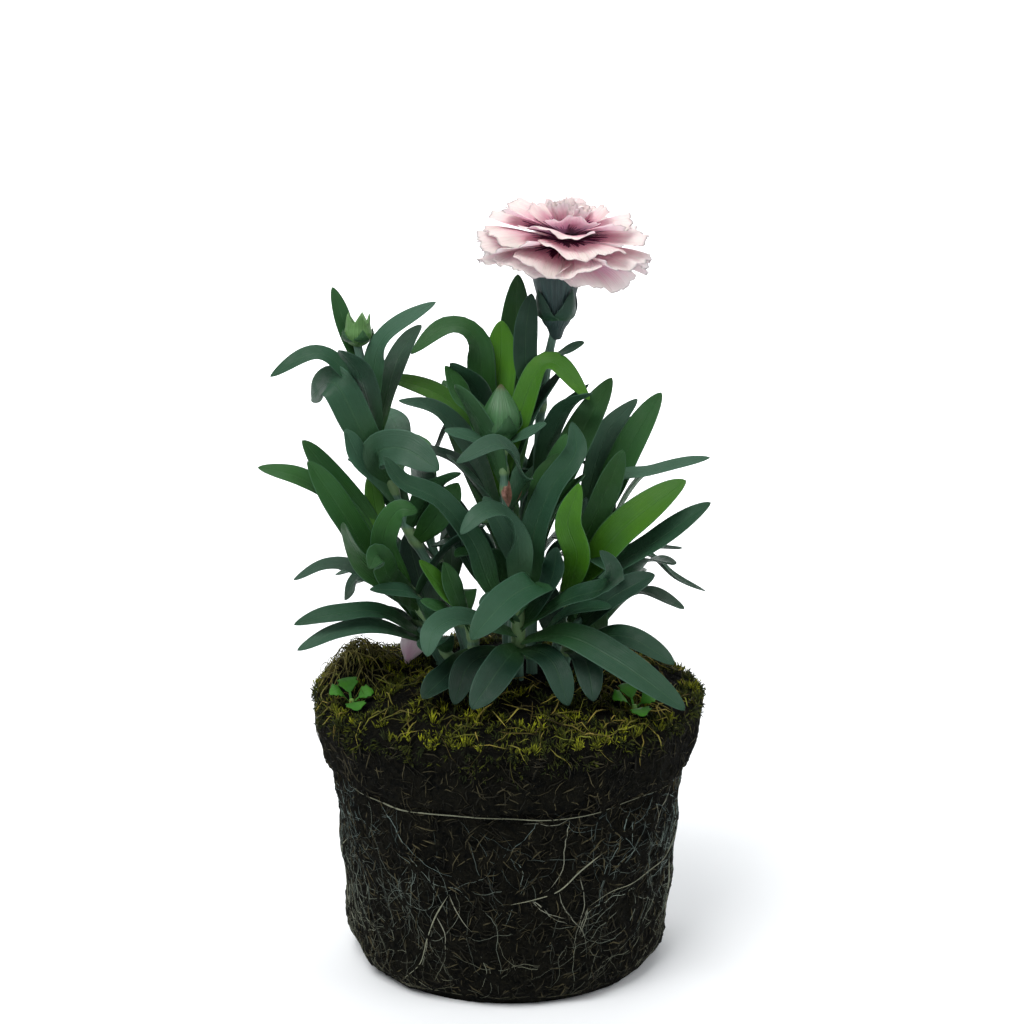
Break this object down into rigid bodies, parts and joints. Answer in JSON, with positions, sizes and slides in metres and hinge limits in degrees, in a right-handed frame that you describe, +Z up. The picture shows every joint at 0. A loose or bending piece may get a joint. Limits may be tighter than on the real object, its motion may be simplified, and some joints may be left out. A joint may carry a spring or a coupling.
{
  "type": "dianthus plant",
  "caption": "Bushy pink dianthus in bloom with buds and strap leaves, standing in its moulded, root-netted soil plug, lifted out of its pot.",
  "frame": {"origin": "centre of the flat underside of the root ball", "axes": "+Z up along the stems, -Y towards the side that shows best, +X to the right of that side"},
  "size_m": [0.13, 0.1144, 0.2263],
  "materials": {
    "soil": "matt, crumbly peat with a net of pale roots",
    "leaf": "waxy blue-green leaf with a soft bloom",
    "petal": "soft pink petal with a pale toothed edge",
    "seedling": "soft bright green seedling leaf"
  },
  "bodies": {
    "root": {"root_ball": "soil", "bloom": "petal", "fallen_petal": "petal", "flower_stem": "leaf", "bud_stem": "leaf", "left_bud_stem": "leaf", "front_rosette": "leaf", "tall_shoot": "leaf", "right_shoot": "leaf", "inner_shoot": "leaf", "left_shoot": "leaf", "front_sprout": "leaf", "right_low_shoot": "leaf", "left_low_shoot": "leaf", "back_shoot": "leaf", "back_left_shoot": "leaf", "back_right_shoot": "leaf", "left_back_sprout": "leaf", "right_back_sprout": "leaf", "left_weed": "seedling", "right_weed": "seedling"}
  },
  "joints": []
}
